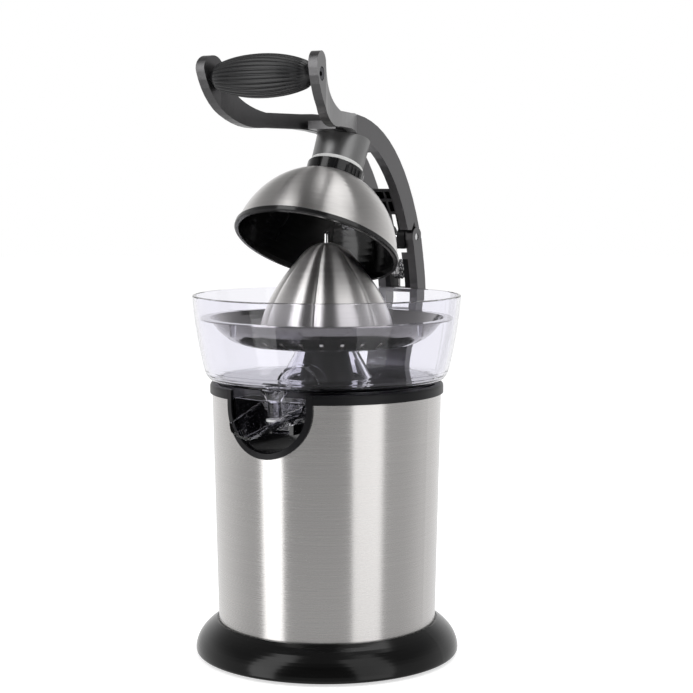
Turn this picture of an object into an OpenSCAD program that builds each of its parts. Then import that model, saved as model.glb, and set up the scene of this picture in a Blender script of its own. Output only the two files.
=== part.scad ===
// Electric citrus press: a motor base with a spinning cone, and a lever arm that lowers a dome on the fruit.
// Millimetres, +Z up, front (spout and handle) towards -Y, origin at the centre of the foot ring's underside.

/* [Base] */
// Radius of the base at its widest
base_r = 86; // [80:0.5:96]
// Height of the base's top lip above the table
base_h = 23; // [20:0.5:30]
// Wall of the base moulding
base_wall = 2.4; // [1.8:0.1:3.5]
// Height of the rubber foot ring below the base
foot_h = 1.5; // [1:0.1:4]
// Thickness of the bottom cover
cover_t = 2.5; // [2:0.1:4]

/* [Body] */
// Radius of the steel sleeve at its top edge
sleeve_top_r = 74.3; // [72:0.1:77]
// Radius of the steel sleeve at its bottom edge
sleeve_bottom_r = 70.9; // [69:0.1:74]
// Length of the steel sleeve
sleeve_h = 151.8; // [140:0.2:170]
// Thickness of the steel sleeve
sleeve_wall = 0.8; // [0.5:0.1:1.4]
// Height of the black collar above the sleeve
collar_h = 6.3; // [5:0.1:9]
// Thickness of the top deck under the bowl
deck_t = 4; // [3:0.1:5]
// Radius of the cord inlet's bore
inlet_r = 3.6; // [2.5:0.1:5]

/* [Spout] */
// Inner radius of the recess in the front of the body
recess_r = 27.4; // [25:0.2:30]
// Width of the black trim around the recess
trim_w = 3.7; // [3:0.1:6]
// Wall of the recess liner
liner_wall = 1.8; // [1.2:0.1:2.5]
// Distance from the axis to the back wall of the recess
recess_back = 48; // [45:0.5:52]
// Outer radius of the pouring chute
chute_r = 17; // [14:0.5:18]
// Wall of the pouring chute
chute_wall = 1.8; // [1.2:0.1:2.5]
// Distance from the axis to the tip of the chute
chute_tip = 95; // [88:0.5:110]
// Slope of the chute towards its tip
chute_slope = 7; // [5:0.5:9]
// Radius of the drip-stop pad
pad_r = 5.5; // [4.5:0.1:6.5]

/* [Bowl] */
// Radius of the bowl at its rim
bowl_r = 86.9; // [84:0.5:96]
// Height of the rim above the deck
bowl_h = 62.2; // [56:0.2:75]
// Wall of the clear bowl
bowl_wall = 2.2; // [1.6:0.1:3]
// Outer radius of the bowl's nozzle
nozzle_r = 4.5; // [3.6:0.1:5]
// Bore radius of the bowl's nozzle
nozzle_bore = 3; // [2:0.1:3.2]

/* [Strainer] */
// Gap between the strainer's flange and the bowl
strainer_gap = 1.6; // [1:0.1:3]
// Depth of the strainer from its flange to its floor
strainer_d = 17.4; // [14:0.2:19]
// Thickness of the strainer's sheet
strainer_t = 0.8; // [0.5:0.1:1.2]
// Number of radial slots
slot_count = 32; // [16:2:40]
// Width of each slot
slot_w = 2.2; // [1.4:0.1:3]

/* [Cone] */
// Radius of the cone at its foot
cone_r = 44.6; // [40:0.2:47]
// Height of the cone
cone_h = 63.1; // [55:0.2:65]
// Number of lobes round the cone
lobe_count = 6; // [4:1:8]
// Depth of the grooves between the lobes
groove_d = 3; // [1.5:0.1:4]
// Thickness of the cone's steel
cone_wall = 1; // [0.6:0.1:1.6]
// Radius of the pin at the cone's tip
tip_pin_r = 1.9; // [1.5:0.1:3]
// Length of the pin above the cone's tip
tip_pin_h = 7.6; // [4:0.1:9]

/* [Dome] */
// Radius of the steel dome
dome_r = 53.5; // [52:0.5:57]
// Height of the dome's curve above its rim, as if it had no neck
dome_h = 52.1; // [51:0.1:54]
// Height of the black rim under the dome
rim_h = 3.4; // [2:0.1:6]
// Thickness of the dome's steel
dome_wall = 0.8; // [0.5:0.1:1.2]
// Thickness of the dome's plastic liner
dome_liner_wall = 1.6; // [1.2:0.1:2.4]
// Outer radius of the neck ring
neck_r = 18.8; // [18.5:0.1:22]
// Top of the neck ring above the dome's rim
neck_top = 55.5; // [55:0.1:57]
// Thickness of the white seal ring
seal_t = 2.6; // [2:0.1:4]

/* [Arm] */
// Distance between the outer faces of the two rails
arm_w = 31; // [29:0.5:36]
// Thickness of a rail
rail_t = 6.2; // [5:0.1:7]
// Scale of the rails' depth seen from the side
rail_depth = 1; // [0.8:0.05:1.15]
// Length of the grip between the prongs
grip_len = 71; // [64:0.2:78]
// Radius of the grip at its middle
grip_r = 13.5; // [12:0.1:15]
// Radius of the grip at its ends
grip_end_r = 8.6; // [7:0.1:10]
// Angle between the prongs' ends and the middle plane
splay = 12; // [4:1:16]

/* [Hinge] */
// Distance of the hinge pin behind the axis
hinge_y = 95; // [94:0.5:97]
// Height of the hinge pin above the table
hinge_z = 270; // [268:0.5:273]
// Angle that the arm stands above its closed position
raised = 27; // [26:0.5:28]
// Radius of the hinge pin
pin_r = 2.5; // [2:0.1:3.2]
// Width of a bracket leg seen from the side
leg_w = 12; // [11:0.2:12.6]

/* [Drive] */
// Gear module
gear_m = 1.2; // [1.1:0.05:1.25]
// Teeth of the two large gears
big_teeth = 45; // [42:3:48]
// Teeth of the two pinions
small_teeth = 15; // [14:1:16]
// Radius of the drive shaft
shaft_r = 4; // [3.4:0.1:4.6]
// Travel of the cone when the fruit presses it down
press_travel = 1.5; // [1:0.1:1.8]
// Radius of the motor's steel can
motor_r = 37; // [34:0.5:40]
// Length of the motor's steel can
motor_h = 62; // [55:0.5:68]

/* [Fits] */
// Radial clearance of a running fit
run_fit = 0.05; // [0.02:0.01:0.08]
// Gap between parts that move past each other
gap = 0.4; // [0.3:0.05:0.6]

/* [Hidden] */
$fn = 96;

// ---- heights and radii that follow from the driving sizes ----
lip_d = 2.6;                                  // depth of the groove that holds the sleeve's bottom edge
lip_w = 2.4;                                  // width of the base's lip outside the sleeve
base_z0 = foot_h;
cover_z1 = base_z0 + cover_t;
sleeve_z0 = base_h - lip_d;
sleeve_z1 = sleeve_z0 + sleeve_h;
collar_z1 = sleeve_z1 + collar_h;
deck_z1 = sleeve_z1 + 0.8;
deck_z0 = deck_z1 - deck_t;
bowl_floor = deck_z1 + 6.7;                   // underside of the bowl's floor
bowl_rim = deck_z1 + bowl_h;
sleeve_taper = (sleeve_top_r - sleeve_bottom_r) / sleeve_h;
function sleeve_r(z) = sleeve_bottom_r + sleeve_taper * (z - sleeve_z0);
collar_r = sleeve_top_r + 1.5;
collar_in = collar_r - 5.1;
spigot_h = 10;
ledge_in = collar_in - 5;
skirt_r = collar_in - 0.7;
recess_z = sleeve_z1 - 3.8;

// ---- curves ----
function bez2(a, b, c, n = 8) = [for (i = [0:n]) let (t = i / n, u = 1 - t) u*u*a + 2*u*t*b + t*t*c];
function bez3(a, b, c, d, n = 10) =
  [for (i = [0:n]) let (t = i / n, u = 1 - t) u*u*u*a + 3*u*u*t*b + 3*u*t*t*c + t*t*t*d];
function flat2(p) = [p.x, p.y];
function normal_at(p, i) =
  let (d = flat2(p[min(i + 1, len(p) - 1)] - p[max(i - 1, 0)])) [d.y, -d.x] / norm(d);
function shift(p, d) = [for (i = [0:len(p) - 1]) flat2(p[i]) + d * normal_at(p, i)];
function rev(p) = [for (i = [len(p) - 1:-1:0]) p[i]];
function head(p) = [for (i = [0:len(p) - 2]) p[i]];
function tail(p) = [for (i = [1:len(p) - 1]) p[i]];
function polar(r, a) = [r * cos(a), r * sin(a)];

// ---- helpers ----
module revolve(points) { rotate_extrude() polygon(points); }
module ring(r1, r2, z0, z1) {
  translate([0, 0, z0]) difference() {
    cylinder(r = r1, h = z1 - z0);
    translate([0, 0, -1]) cylinder(r = r2, h = z1 - z0 + 2);
  }
}
module disc(r, z0, z1) { translate([0, 0, z0]) cylinder(r = r, h = z1 - z0); }
// A cylinder along X, centred on x = 0
module x_rod(r, len, y, z) { translate([-len / 2, y, z]) rotate([0, 90, 0]) cylinder(r = r, h = len); }
module around(angles, r) { for (a = angles) rotate([0, 0, a]) translate([r, 0, 0]) children(); }
// Extrudes a [y, z] outline along X
module side_extrude(points, x0, x1) {
  translate([x0, 0, 0]) rotate([90, 0, 90]) linear_extrude(x1 - x0) polygon(points);
}
module both_sides() { children(); mirror([1, 0, 0]) children(); }
// Sweeps a round wire through the frames [centre, side, up]
module wire(frames, r, sides = 8) {
  n = len(frames);
  points = [for (f = frames) for (k = [0:sides - 1])
    f[0] + r * (cos(360 * k / sides) * f[1] + sin(360 * k / sides) * f[2])];
  walls = [for (i = [0:n - 2]) for (k = [0:sides - 1]) let (j = (k + 1) % sides)
    [i*sides + k, (i + 1)*sides + k, (i + 1)*sides + j, i*sides + j]];
  first = [for (k = [0:sides - 1]) k];
  last = [for (k = [sides - 1:-1:0]) (n - 1)*sides + k];
  polyhedron(points, concat(walls, [first, last]));
}

// ---- base ----
cover_r = base_r - 6.3;
foot_r = cover_r - 4;
foot_w = 8;
rod_r = 2.5;
rod_at = min(ledge_in, sleeve_bottom_r - 5.2) - rod_r - 1.1;
rod_angles = [-35, 35, 145, 215];
rod_socket = 3;
screw_r = 1.6;
base_lip_r = sleeve_bottom_r + 0.2 + lip_w;
base_outer = concat(
  bez2([base_lip_r - 1, base_h], [base_r, base_h - 8.5], [base_r, base_z0 + 2.2], 10),
  tail(bez2([base_r, base_z0 + 2.2], [base_r, base_z0], [base_r - 2.5, base_z0], 4)));

module base_disc() {
  color("#111113") revolve(concat(
    [[sleeve_bottom_r + 0.2, sleeve_z0], [sleeve_bottom_r + 0.2, base_h - 0.5]],
    base_outer,
    [[cover_r + 0.2, base_z0], [cover_r + 0.2, cover_z1], [cover_r - 2.2, cover_z1]],
    rev(shift([for (p = base_outer) if (p.y > cover_z1 + 3) p], base_wall)),
    [[sleeve_bottom_r - 4, sleeve_z0 - base_wall], [sleeve_bottom_r - 4, base_h + 5],
     [sleeve_bottom_r - sleeve_wall - 0.2, base_h + 5], [sleeve_bottom_r - sleeve_wall - 0.2, sleeve_z0]]));
}

vent_count = 14;
vent_in = 26;
vent_len = 16;
vent_w = 3;
board_x = 40;
board_y = 26;
board_at = 50;
post_h = 5;
module bottom_cover() {
  color("#1b1b1d") difference() {
    union() {
      disc(cover_r, base_z0, cover_z1);
      for (x = [-1, 1], y = [-1, 1])
        translate([x * (board_x / 2 - 4), board_at + y * (board_y / 2 - 4), cover_z1]) cylinder(r = 2.4, h = post_h);
    }
    for (i = [0:vent_count - 1]) rotate([0, 0, (i + 0.5) * 360 / vent_count])
      translate([vent_in, -vent_w / 2, base_z0 - 1]) cube([vent_len, vent_w, cover_t + 2]);
    around(rod_angles, rod_at) {
      disc(screw_r, base_z0 - 1, cover_z1 + 1);
      disc(screw_r * 2.2, base_z0 - 1, base_z0 + 1.4);
    }
  }
}

module foot_ring() {
  color("#2b2b2c") ring(foot_r, foot_r - foot_w, 0, base_z0);
}

module bottom_screws() {
  color("#8d9094") around(rod_angles, rod_at) {
    disc(screw_r * 2.1, base_z0 + 0.1, base_z0 + 1.4);
    disc(screw_r, base_z0 + 1.4, cover_z1 + 10);
  }
}

module tie_rods() {
  color("#9a9da1") around(rod_angles, rod_at) difference() {
    disc(rod_r, cover_z1, sleeve_z1 - spigot_h + rod_socket);
    disc(screw_r, cover_z1 - 1, cover_z1 + 12);
  }
}

// ---- body ----
cut_r = recess_r + liner_wall + 0.3;          // radius of the opening in the sleeve
bracket_z = [sleeve_z1 - 56, sleeve_z1 - 20]; // heights of the bracket's two rows of screws
bracket_x = 9;
bracket_screw_r = 2;
inlet_z = sleeve_z0 + 17;
inlet_seat_r = inlet_r + 3.4;

// Everything inside a U of the given radius that is open at the top
module recess_u(r, y0, y1) {
  translate([0, y1, recess_z]) rotate([90, 0, 0]) cylinder(r = r, h = y1 - y0);
  translate([-r, y0, recess_z]) cube([2 * r, y1 - y0, collar_h + 24]);
}

module steel_sleeve() {
  color("#b9bcc0") difference() {
    revolve([[sleeve_bottom_r, sleeve_z0], [sleeve_top_r, sleeve_z1],
      [sleeve_top_r - sleeve_wall, sleeve_z1], [sleeve_bottom_r - sleeve_wall, sleeve_z0]]);
    recess_u(cut_r, -collar_r - 5, -recess_back);
    for (z = bracket_z, x = [-bracket_x, bracket_x])
      translate([x, sleeve_top_r + 5, z]) rotate([90, 0, 0]) cylinder(r = bracket_screw_r, h = 12);
    translate([0, sleeve_top_r + 5, inlet_z]) rotate([90, 0, 0]) cylinder(r = inlet_seat_r, h = 20);
  }
}

module collar_ring() {
  revolve(concat([
    [ledge_in, sleeve_z1 - spigot_h], [sleeve_top_r - sleeve_wall - 0.4, sleeve_z1 - spigot_h],
    [sleeve_top_r - sleeve_wall - 0.4, sleeve_z1], [collar_r, sleeve_z1]],
    bez2([collar_r, collar_z1 - 2.2], [collar_r, collar_z1], [collar_r - 2.2, collar_z1], 4),
    bez2([collar_in + 1.5, collar_z1], [collar_in, collar_z1], [collar_in, collar_z1 - 1.5], 3),
    [[collar_in, deck_z0], [ledge_in, deck_z0]]));
}
module top_collar() {
  color("#1d1e20") difference() {
    union() {
      around(rod_angles, rod_at) disc(rod_r + 2, sleeve_z1 - spigot_h, deck_z0);
      collar_ring();
    }
    recess_u(recess_r + trim_w + 0.1, -collar_r - 5, -recess_back);
    around(rod_angles, rod_at) disc(rod_r, sleeve_z1 - spigot_h - 1, sleeve_z1 - spigot_h + rod_socket);
  }
}
trim_t = 1.5;
// The skin outside the sleeve, from the sleeve to the given thickness
module sleeve_skin(t0, t1, z0, z1) {
  revolve([[sleeve_r(z0) + t0, z0], [sleeve_r(z0) + t1, z0], [sleeve_r(z1) + t1, z1], [sleeve_r(z1) + t0, z1]]);
}
module recess_trim() {
  color("#17181a") difference() {
    union() {
      intersection() {
        recess_u(recess_r + trim_w, -collar_r - 5, -recess_back);
        sleeve_skin(0.05, trim_t, recess_z - recess_r - trim_w - 5, sleeve_z1);
      }
      intersection() {
        recess_u(recess_r + trim_w, -collar_r - 5, -recess_back);
        ring(collar_r, sleeve_top_r - sleeve_wall - 0.4, sleeve_z1, collar_z1);
      }
    }
    recess_u(recess_r, -collar_r - 6, 0);
  }
}

spout_pin_y = -recess_back - 5.2;
spout_pin_z = recess_z - 14.7;
spout_pin_r = 1.25;
ear_t = 3;
knuckle_w = 12;
module recess_liner() {
  color("#0d0d0f") difference() {
    union() {
      difference() {
        intersection() {
          recess_u(recess_r + liner_wall, -collar_r - 5, -recess_back + liner_wall);
          disc(min(sleeve_bottom_r, sleeve_top_r - sleeve_wall - 1), recess_z - 60, deck_z1 - 0.2);
        }
        recess_u(recess_r, -collar_r - 6, -recess_back);
      }
      both_sides() translate([knuckle_w / 2 + gap, spout_pin_y - 3, spout_pin_z - 3])
        cube([ear_t, -recess_back - spout_pin_y + 3, 6]);
    }
    x_rod(spout_pin_r, 60, spout_pin_y, spout_pin_z);
  }
}

boss_r0 = 19.5;
boss_r1 = 13;
boss_z1 = bowl_floor + 23.3;                  // top of the shaft tower
case_pillars = [[-27, -24], [27, -24], [-38, 34], [38, 34]];
layshaft_y = gear_m * (big_teeth + small_teeth) / 2;
case_z1 = deck_z0 - 8.5;
bush_r = shaft_r + 3;
seal_r = shaft_r + 5;
module top_deck() {
  color("#151517") difference() {
    union() {
      disc(collar_in - 0.15, deck_z0, deck_z1);
      translate([0, 0, deck_z1]) cylinder(r1 = boss_r0, r2 = boss_r1, h = boss_z1 - deck_z1);
      for (p = case_pillars) translate([p.x, p.y, case_z1]) cylinder(r = 4, h = deck_z0 - case_z1);
    }
    recess_u(recess_r + liner_wall + 0.2, -collar_r - 5, -recess_back + liner_wall + 0.2);
    translate([0, 0, deck_z0 - 1]) cylinder(r1 = boss_r0 - 4, r2 = bush_r + 0.2, h = 8);
    disc(bush_r, deck_z0, boss_z1 - 3);
    disc(seal_r, boss_z1 - 3, boss_z1 + 1);
    for (p = case_pillars) translate([p.x, p.y, case_z1 - 1]) cylinder(r = screw_r, h = 7);
  }
}

// ---- gear train ----
lid_t = 3;
case_floor_t = 3.5;
case_wall = 2.2;
case_z0 = case_z1 - lid_t - 41;               // underside of the case floor, where the motor hangs
big_r = gear_m * big_teeth / 2;
small_r = gear_m * small_teeth / 2;
case_r = big_r + 2 * gear_m + 1.6 + case_wall;
low_gear_z = case_z0 + 8;                     // underside of the lower gear pair
gear_w = 10;
high_gear_z = case_z1 - lid_t - gear_w - 3;   // underside of the output gear
axle_r = 3;
pressure = 25;
backlash = 0.1;

function inv(a) = tan(a) - a * PI / 180;
function base_circle(z) = gear_m * z / 2 * cos(pressure);
function half_tooth(z, r) = 90 / z - backlash / (gear_m * z / 2) * 180 / PI
  + (inv(pressure) - inv(acos(min(1, base_circle(z) / r)))) * 180 / PI;
function gear_points(z, phase, steps = 3) =
  let (root = gear_m * (z / 2 - 1.25), tip = gear_m * (z / 2 + 1), start = max(root + 0.01, base_circle(z)))
  [for (k = [0:z - 1]) let (c = phase + 360 * k / z) each concat(
    [polar(root, c - half_tooth(z, start))],
    [for (i = [0:steps]) let (r = start + (tip - start) * i / steps) polar(r, c - half_tooth(z, r))],
    [for (i = [steps:-1:0]) let (r = start + (tip - start) * i / steps) polar(r, c + half_tooth(z, r))],
    [polar(root, c + half_tooth(z, start))])];
module gear(z, phase, z0, z1) { translate([0, 0, z0]) linear_extrude(z1 - z0) polygon(gear_points(z, phase)); }

switch_x = -case_r - 8;
switch_z = high_gear_z - 13;                  // top of the switch
rocker_z = high_gear_z - 6.1;
rocker_t = 2.3;
module case_plan(r) {
  circle(r = r);
  translate([0, layshaft_y]) circle(r = r);
  for (p = case_pillars) translate(p) circle(r = 5);
}
module gear_case() {
  color("#34363a") difference() {
    union() {
      translate([0, 0, case_z0]) linear_extrude(case_z1 - lid_t - case_z0) case_plan(case_r);
      translate([-case_r - 3, -5, switch_z - 11]) cube([8, 10, 11]);
    }
    translate([0, 0, case_z0 + case_floor_t]) {
      cylinder(r = case_r - case_wall, h = 60);
      translate([0, layshaft_y, 0]) cylinder(r = case_r - case_wall, h = 60);
    }
    disc(motor_shaft_r + 3, case_z0 - 1, case_z0 + 10);
    translate([0, layshaft_y, 0]) disc(axle_r, case_z0 - 1, case_z0 + 10);
    translate([-case_r - 4, -5.5, switch_z + 0.01]) cube([10, 11, rocker_z + rocker_t + 2 - switch_z]);
    for (p = case_pillars) translate([p.x, p.y, case_z1 - lid_t - 12]) cylinder(r = screw_r, h = 20);
  }
  color("#34363a") translate([0, layshaft_y, 0])
    ring(axle_r + 3, axle_r, case_z0 + case_floor_t, low_gear_z - gap);
}

module gear_case_lid() {
  color("#34363a") difference() {
    translate([0, 0, case_z1 - lid_t]) linear_extrude(lid_t) case_plan(case_r);
    disc(bush_r, case_z1 - lid_t - 1, case_z1 + 1);
    translate([0, layshaft_y, 0]) disc(axle_r, case_z1 - lid_t - 1, case_z1 + 1);
    for (p = case_pillars) translate([p.x, p.y, case_z1 - lid_t - 1]) cylinder(r = screw_r, h = lid_t + 2);
  }
}

module case_screws() {
  color("#8d9094") for (p = case_pillars)
    translate([p.x, p.y, case_z1 - lid_t - 12]) cylinder(r = screw_r, h = lid_t + 12 + 6);
}

module layshaft_axle() {
  color("#b4b7bb") translate([0, layshaft_y, 0]) disc(axle_r, case_z0, case_z1);
}

module shaft_bushes() {
  color("#b08a4a") {
    ring(bush_r, shaft_r + run_fit, boss_z1 - 17, boss_z1 - 3);
    ring(bush_r, shaft_r + run_fit, case_z1 - lid_t, case_z1);
  }
}

module shaft_seal() {
  color("#9b2f26") ring(seal_r, shaft_r + run_fit, boss_z1 - 3, boss_z1);
}

module layshaft_gear() {
  color("#e3dfd2") translate([0, layshaft_y, 0]) difference() {
    union() {
      gear(big_teeth, -90 + 180 / big_teeth, low_gear_z, low_gear_z + gear_w);
      disc(axle_r + 3.5, low_gear_z, high_gear_z + gear_w + 1);
      gear(small_teeth, -90 - 180 / small_teeth, high_gear_z - press_travel - 1, high_gear_z + gear_w + 1);
    }
    disc(axle_r + run_fit, low_gear_z - 1, high_gear_z + gear_w + 3);
  }
}

rocker_r = 8;
module press_rocker() {
  color("#d9d4c4") {
    disc(rocker_r, rocker_z, rocker_z + rocker_t);
    translate([switch_x, -3, rocker_z]) cube([-switch_x, 6, rocker_t]);
    translate([switch_x + 1, 0, switch_z + press_travel + gap])
      cylinder(r = 1.4, h = rocker_z - switch_z - press_travel - gap + 0.1);
  }
}

spring_turns = 4;
module press_spring() {
  r = 2.8;
  wire_r = 0.4;
  n = 12 * spring_turns;
  span = rocker_z - press_travel - 0.3 - switch_z - 2 * wire_r;
  color("#c2c5c9") translate([switch_x + 1, 0, switch_z + wire_r]) wire([for (i = [0:n])
    let (a = 30 * i) [[r * cos(a), r * sin(a), span * i / n], [cos(a), sin(a), 0], [0, 0, 1]]], wire_r, 6);
}

shaft_z0 = rocker_z + rocker_t + 0.3;
module drive_shaft() {
  color("#c4c7cb") difference() {
    disc(shaft_r, shaft_z0, cone_z0 + cone_h - 26);
    x_rod(drive_pin_r, 40, 0, drive_pin_z);
  }
}

module output_gear() {
  color("#e3dfd2") difference() {
    union() {
      gear(big_teeth, 90, high_gear_z, high_gear_z + gear_w);
      disc(shaft_r + 5, high_gear_z, high_gear_z + gear_w + 1.5);
    }
    disc(shaft_r, high_gear_z - 1, high_gear_z + gear_w + 3);
  }
}

// ---- motor ----
can_z0 = case_z0 - motor_h;
can_t = 1.5;
motor_shaft_r = 3;
rotor_r = 19.5;
module motor_can() {
  color("#a6a9ad") difference() {
    disc(motor_r, can_z0, case_z0);
    disc(motor_r - can_t, can_z0 - 1, case_z0 - 2.5);
    disc(motor_shaft_r + 3, case_z0 - 4, case_z0 + 1);
  }
}

module motor_end_bell() {
  color("#8f9296") difference() {
    union() {
      disc(motor_r, can_z0 - 3, can_z0);
      disc(motor_shaft_r + 6, can_z0 - 3, can_z0 + 5);
    }
    disc(motor_shaft_r + 3, can_z0 - 4, can_z0 + 6);
    for (i = [0:5]) rotate([0, 0, 60 * i]) translate([22, 0, can_z0 - 4]) cylinder(r = 5, h = 5);
  }
}

module motor_bushes() {
  color("#b08a4a") {
    ring(motor_shaft_r + 3, motor_shaft_r + run_fit, can_z0 - 3, can_z0 + 5);
    ring(motor_shaft_r + 3, motor_shaft_r + run_fit, case_z0 - 2.5, case_z0 + case_floor_t);
  }
}

stator_z0 = can_z0 + 15;
stator_h = motor_h - 30;
module stator_core() {
  color("#5b5e63") ring(motor_r - can_t, rotor_r + 0.6, stator_z0, stator_z0 + stator_h);
}

module stator_coils() {
  color("#a6572a") for (z = [stator_z0 - 8, stator_z0 + stator_h])
    ring(motor_r - can_t - 2.5, rotor_r + 2.5, z, z + 8);
}

module rotor_core() {
  color("#6c6f74") ring(rotor_r, motor_shaft_r, stator_z0 - 1, stator_z0 + stator_h + 1);
}

pinion_z1 = rocker_z - press_travel - 0.7;
module rotor_shaft() {
  color("#c4c7cb") {
    disc(motor_shaft_r, can_z0 - 14, case_z0 + case_floor_t + 1);
    gear(small_teeth, 90, case_z0 + case_floor_t + 1, pinion_z1);
  }
}

module cooling_fan() {
  color("#3a3c40") difference() {
    union() {
      disc(9, can_z0 - 13, can_z0 - 5);
      disc(28, can_z0 - 6.5, can_z0 - 5);
      for (i = [0:8]) rotate([0, 0, 40 * i]) translate([7, -0.75, can_z0 - 13]) cube([20, 1.5, 7]);
    }
    disc(motor_shaft_r, can_z0 - 15, can_z0 - 4);
  }
}

module control_board() {
  z = cover_z1 + post_h;
  color("#2e6b3c") {
    translate([-board_x / 2, board_at - board_y / 2, z]) cube([board_x, board_y, 1.6]);
    translate([-14, board_at - 8, z + 1.6]) cube([16, 9, 11]);
    translate([8, board_at, z + 1.6]) cylinder(r = 5, h = 12);
    translate([-6, board_at + 3, z + 1.6]) cube([20 - 8, 7, 8]);
  }
}

module micro_switch() {
  color("#1f2a44") difference() {
    translate([-case_r - 3 - 10, -3, switch_z - 12]) cube([10, 6, 12]);
    translate([-case_r - 8, -4, switch_z - 10]) rotate([-90, 0, 0]) cylinder(r = 1, h = 10);
  }
}

inlet_y1 = sleeve_r(inlet_z) + 5;
inlet_len = 14;
module cord_gland() {
  color("#202022") translate([0, inlet_y1, inlet_z]) rotate([90, 0, 0]) difference() {
    union() {
      cylinder(r1 = inlet_r + 3, r2 = inlet_seat_r + 1.5, h = 5 - 0.2);
      cylinder(r = inlet_seat_r - 0.1, h = inlet_len - 2.5);
      translate([0, 0, inlet_len - 2.5 - 4]) cylinder(r = inlet_seat_r - 0.1, h = 6.5);
    }
    translate([0, 0, -1]) cylinder(r = inlet_r, h = inlet_len + 2);
  }
}

// ---- juice bowl and strainer ----
corner = bez2([skirt_r + 1.9, bowl_floor], [bowl_r - 8.7, bowl_floor + 0.3], [bowl_r - 6.8, bowl_floor + 10.3], 6);
wall_curve = bez3(corner[6], [bowl_r - 3.9, bowl_floor + 23.3], [bowl_r - 0.7, bowl_rim - 14.2],
  [bowl_r, bowl_rim], 8);
bowl_outer = concat(corner, tail(wall_curve));
flange_z = deck_z1 + 47;                      // seat of the strainer's flange
floor_top = bowl_floor + bowl_wall;
tower_gap = 0.05;
tower_r0 = 29.5;
tower_r1 = 18;
nozzle_y = -62.5;
nozzle_z0 = bowl_floor - 17.2;
funnel_h = 8;
function bowl_inner_r(z) = let (p = shift(bowl_outer, -bowl_wall))
  min([for (i = [6:len(p) - 2]) if (z >= p[i].y && z <= p[i + 1].y)
    p[i].x + (p[i + 1].x - p[i].x) * (z - p[i].y) / (p[i + 1].y - p[i].y)]);
strainer_r = bowl_inner_r(flange_z) - strainer_gap;

rim_round = 0.8;
rim_edge = [for (a = [0:30:180]) let (p = rim_round * [cos(a), sin(a)])
  [(a < 90 ? bowl_r - rim_round : bowl_r - bowl_wall + rim_round) + p.x, bowl_rim - rim_round + p.y]];
// the strainer's flange rests on four small ribs
seat_angles = [76, 166, 256, 346];
seat_rib_t = 1.6;
seat_rib_h = 7;

// low arch over the floor, between the tower and the nozzle
hood_w = 32;
hood_h = 10.5;
hood_y = -35;
hood_t = 1.6;
module hood() {
  r = (hood_w * hood_w / 4 + hood_h * hood_h) / (2 * hood_h);
  intersection() {
    difference() {
      translate([0, hood_y, floor_top + hood_h - r]) rotate([-90, 0, 0]) {
        difference() {
          cylinder(r = r, h = 16);
          translate([0, 0, -1]) cylinder(r = r - hood_t, h = 18);
        }
      }
      translate([0, 0, floor_top]) cylinder(r1 = tower_r0 - 1, r2 = tower_r1 - 1, h = boss_z1 - floor_top);
    }
    translate([-hood_w, hood_y - 1, floor_top + tower_gap]) cube([2 * hood_w, 18, hood_h + 2]);
  }
}

module juice_bowl() {
  inner = rev(shift(bowl_outer, -bowl_wall));
  color([0.86, 0.86, 0.96, 0.35]) difference() {
    union() {
      revolve(concat(
        [[tower_r0 + tower_gap, bowl_floor], [skirt_r - 2, bowl_floor], [skirt_r - 2, deck_z1],
         [skirt_r, deck_z1], [skirt_r, bowl_floor]],
        head(bowl_outer), rim_edge, tail([for (p = inner) [p.x, min(p.y, bowl_rim)]]),
        [[tower_r0 + tower_gap, floor_top]]));
      translate([0, nozzle_y, nozzle_z0]) {
        cylinder(r = nozzle_r, h = bowl_floor - nozzle_z0 + 1);
        translate([0, 0, bowl_floor - nozzle_z0 - funnel_h])
          cylinder(r1 = nozzle_r, r2 = nozzle_r + 5, h = funnel_h + 1);
      }
      around(seat_angles, strainer_r - 2.4) translate([0, -seat_rib_t / 2, flange_z - seat_rib_h])
        cube([strainer_gap + 2.8, seat_rib_t, seat_rib_h]);
    }
    translate([0, nozzle_y, nozzle_z0 - 1]) cylinder(r = nozzle_bore, h = floor_top - nozzle_z0 + 2);
    translate([0, nozzle_y, bowl_floor - funnel_h + 2])
      cylinder(r1 = nozzle_bore, r2 = nozzle_r + 3.5, h = funnel_h - 2 + bowl_wall + 0.1);
  }
}

// The bowl's middle, with the hollow tower round the motor's boss
module bowl_tower() {
  color([0.86, 0.86, 0.96, 0.35]) union() {
    revolve([[tower_r0 - bowl_wall, bowl_floor], [tower_r0, bowl_floor], [tower_r0, floor_top],
      [tower_r1, boss_z1], [tower_r1 - bowl_wall, boss_z1]]);
    hood();
  }
}

strainer_floor = flange_z - strainer_d;
strainer_hole = tower_r1 + 2.2;
strainer_under = concat([[strainer_r, flange_z]],
  bez2([strainer_r - 6.1, flange_z], [strainer_r - 14.6, strainer_floor + 1.9],
    [strainer_r - 31.6, strainer_floor], 10),
  [[strainer_hole, strainer_floor]]);
module strainer() {
  color("#b4b6b9") difference() {
    revolve(concat([[strainer_r, flange_z + strainer_t]], strainer_under,
      rev([for (p = tail(strainer_under)) [p.x, p.y + strainer_t]])));
    for (i = [0:slot_count - 1]) rotate([0, 0, (i + 0.5) * 360 / slot_count])
      translate([strainer_r - 34.6, -slot_w / 2, strainer_floor - 1]) cube([19, slot_w, strainer_d]);
  }
}

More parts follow.
